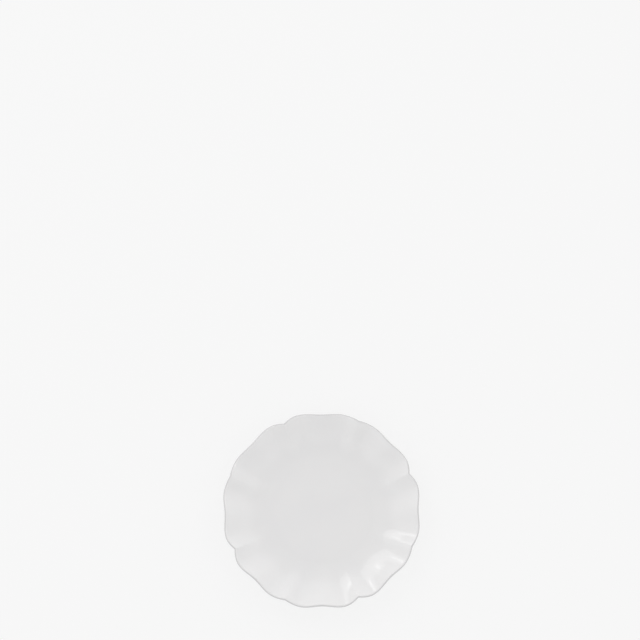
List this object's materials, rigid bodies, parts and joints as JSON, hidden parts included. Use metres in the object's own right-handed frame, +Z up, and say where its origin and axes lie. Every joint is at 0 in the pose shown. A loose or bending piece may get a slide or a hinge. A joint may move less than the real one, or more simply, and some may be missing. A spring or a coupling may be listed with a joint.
{
  "type": "bread plate",
  "caption": "Round white glazed bread plate with a flat well, a rising fluted rim cut into petals by soft dips and sharp clefts, and a bare foot ring to stand on.",
  "frame": {"origin": "centre of the foot ring's underside, on the table", "axes": "+Z up out of the well along the plate's axis, +X and +Y through two of the rim's soft dips"},
  "size_m": [0.1618, 0.1618, 0.02],
  "materials": {
    "bare_clay": "matt, sanded smooth",
    "white_glaze": "glossy"
  },
  "bodies": {
    "root": {"stoneware_body": "bare_clay", "glaze_coat": "white_glaze", "foot_recess_glaze": "white_glaze"}
  },
  "joints": []
}
